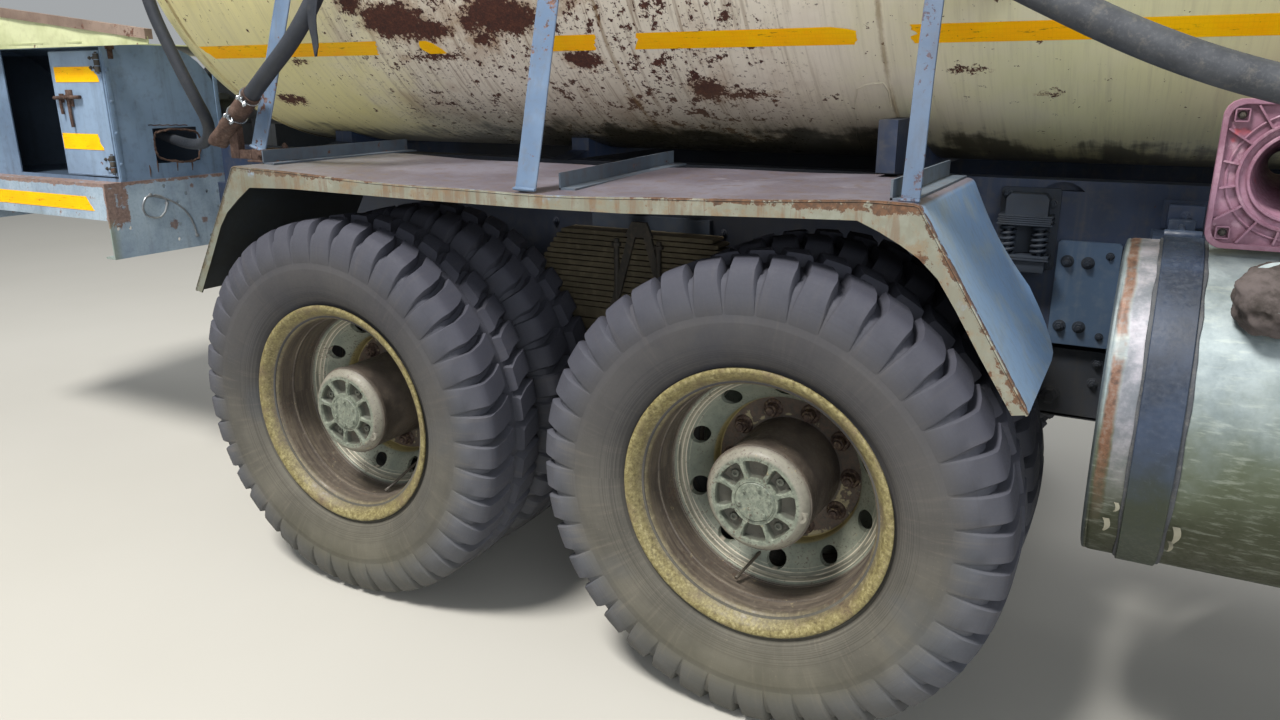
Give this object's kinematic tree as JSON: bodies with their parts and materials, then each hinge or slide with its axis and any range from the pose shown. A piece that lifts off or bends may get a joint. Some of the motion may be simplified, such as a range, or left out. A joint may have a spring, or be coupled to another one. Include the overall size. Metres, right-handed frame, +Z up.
{
  "type": "tanker truck",
  "caption": "Rigid water tanker truck: round tank on a ladder frame, double rear bogie under flat mudguards, cab with opening doors, rear deck with pump cabinets.",
  "frame": {"origin": "on the ground under the middle of the whole truck, half way between the front bumper and the rear lamps", "axes": "+X to the front of the truck, +Y to its left side, +Z up"},
  "size_m": [9.05, 2.85, 3.395],
  "materials": {
    "bare_aluminium": "dull",
    "black_plastic": "matte",
    "cab_paint": "satin",
    "clear_glass": "clear",
    "cone_plastic": "faded",
    "deck_paint": "weathered",
    "frame_paint": "satin",
    "galvanised": "dull",
    "guard_paint": "weathered",
    "hose_rubber": "matte",
    "iron": "rough",
    "lamp_glass": "clear",
    "rim_paint": "weathered",
    "roof_paint": "weathered",
    "seat_cover": "matte",
    "tank_paint": "weathered",
    "tyre_rubber": "dusty"
  },
  "bodies": {
    "chassis": {"air_tanks": "frame_paint", "battery_box": "black_plastic", "bogie_springs": "iron", "cab_glass": "clear_glass", "cab_shell": "cab_paint", "cab_steps": "frame_paint", "cabinet_roof": "roof_paint", "dashboard": "black_plastic", "engine_block": "iron", "exhaust_stack": "iron", "frame_crossmembers": "frame_paint", "frame_rails": "frame_paint", "front_axle": "iron", "front_bumper": "frame_paint", "front_mudguards": "guard_paint", "front_springs": "iron", "fuel_tank": "bare_aluminium", "fuel_tank_straps": "frame_paint", "grille": "black_plastic", "hose_fittings": "iron", "hoses": "hose_rubber", "lamps": "lamp_glass", "mirrors": "black_plastic", "mudguard_struts": "guard_paint", "outlet_pipe": "galvanised", "propshafts": "iron", "pump_cabinets": "deck_paint", "rear_axles": "iron", "rear_deck": "deck_paint", "rear_mudguards": "guard_paint", "seats": "seat_cover", "subframe_mounts": "frame_paint", "tank_ladder": "galvanised", "tank_shell": "tank_paint", "tank_subframe": "frame_paint", "tank_walkway": "galvanised", "trunnion": "iron", "warning_cone": "cone_plastic"},
    "mid_wheels_right": {"mid_tyres_right": "tyre_rubber", "mid_wheel_right": "rim_paint"},
    "mid_wheels_left": {"mid_tyres_left": "tyre_rubber", "mid_wheel_left": "rim_paint"},
    "rear_wheels_right": {"rear_tyres_right": "tyre_rubber", "rear_wheel_right": "rim_paint"},
    "rear_wheels_left": {"rear_tyres_left": "tyre_rubber", "rear_wheel_left": "rim_paint"},
    "front_wheel_right": {"front_tyre_right": "tyre_rubber", "front_wheel_right": "rim_paint"},
    "steering_right": {"knuckle_right": "iron"},
    "cab_door_right": {"door_right": "cab_paint", "door_glass_right": "clear_glass"},
    "front_wheel_left": {"front_tyre_left": "tyre_rubber", "front_wheel_left": "rim_paint"},
    "steering_left": {"knuckle_left": "iron"},
    "cab_door_left": {"door_left": "cab_paint", "door_glass_left": "clear_glass"},
    "tank_lid": {"manhole_lid": "tank_paint"},
    "equipment_door": {"cabinet_door": "deck_paint"},
    "steering_wheel": {"steering_wheel": "black_plastic"}
  },
  "joints": [
    {"name": "mid_axle_right", "type": "hinge", "parent": "chassis", "child": "mid_wheels_right", "pos_m": [-0.45, -1, 0.61], "axis": [0, 1, 0], "continuous": true},
    {"name": "mid_axle_left", "type": "hinge", "parent": "chassis", "child": "mid_wheels_left", "pos_m": [-0.45, 1, 0.61], "axis": [0, 1, 0], "continuous": true},
    {"name": "rear_axle_right", "type": "hinge", "parent": "chassis", "child": "rear_wheels_right", "pos_m": [-1.83, -1, 0.61], "axis": [0, 1, 0], "continuous": true},
    {"name": "rear_axle_left", "type": "hinge", "parent": "chassis", "child": "rear_wheels_left", "pos_m": [-1.83, 1, 0.61], "axis": [0, 1, 0], "continuous": true},
    {"name": "steer_left", "type": "hinge", "parent": "chassis", "child": "steering_left", "pos_m": [3.16, 0.85, 0.61], "axis": [0, 0, 1], "range_deg": [-32, 32]},
    {"name": "front_axle_left", "type": "hinge", "parent": "steering_left", "child": "front_wheel_left", "pos_m": [3.16, 1.04, 0.61], "axis": [0, 1, 0], "continuous": true},
    {"name": "steer_right", "type": "hinge", "parent": "chassis", "child": "steering_right", "pos_m": [3.16, -0.85, 0.61], "axis": [0, 0, 1], "range_deg": [-32, 32]},
    {"name": "front_axle_right", "type": "hinge", "parent": "steering_right", "child": "front_wheel_right", "pos_m": [3.16, -1.04, 0.61], "axis": [0, 1, 0], "continuous": true},
    {"name": "steering_wheel_turn", "type": "hinge", "parent": "chassis", "child": "steering_wheel", "pos_m": [3.96, 0.62, 2.11], "axis": [-0.5736, 0, 0.8192], "range_deg": [-544, 544]},
    {"name": "door_right_hinge", "type": "hinge", "parent": "chassis", "child": "cab_door_right", "pos_m": [4.237, -1.203, 1.8], "axis": [0, 0, 1], "range_deg": [0, 70]},
    {"name": "door_left_hinge", "type": "hinge", "parent": "chassis", "child": "cab_door_left", "pos_m": [4.237, 1.203, 1.8], "axis": [0, 0, -1], "range_deg": [0, 70]},
    {"name": "tank_lid_hinge", "type": "hinge", "parent": "chassis", "child": "tank_lid", "pos_m": [-0.7, 0, 3.346], "axis": [0, -1, 0], "range_deg": [0, 110]},
    {"name": "cabinet_door_hinge", "type": "hinge", "parent": "chassis", "child": "equipment_door", "pos_m": [-3.326, -0.877, 1.49], "axis": [0, 0, 1], "range_deg": [0, 110]}
  ],
  "couplings": [
    {"joint": "steer_right", "follows": "steer_left", "ratio": 1},
    {"joint": "steering_wheel_turn", "follows": "steer_left", "ratio": 17}
  ]
}
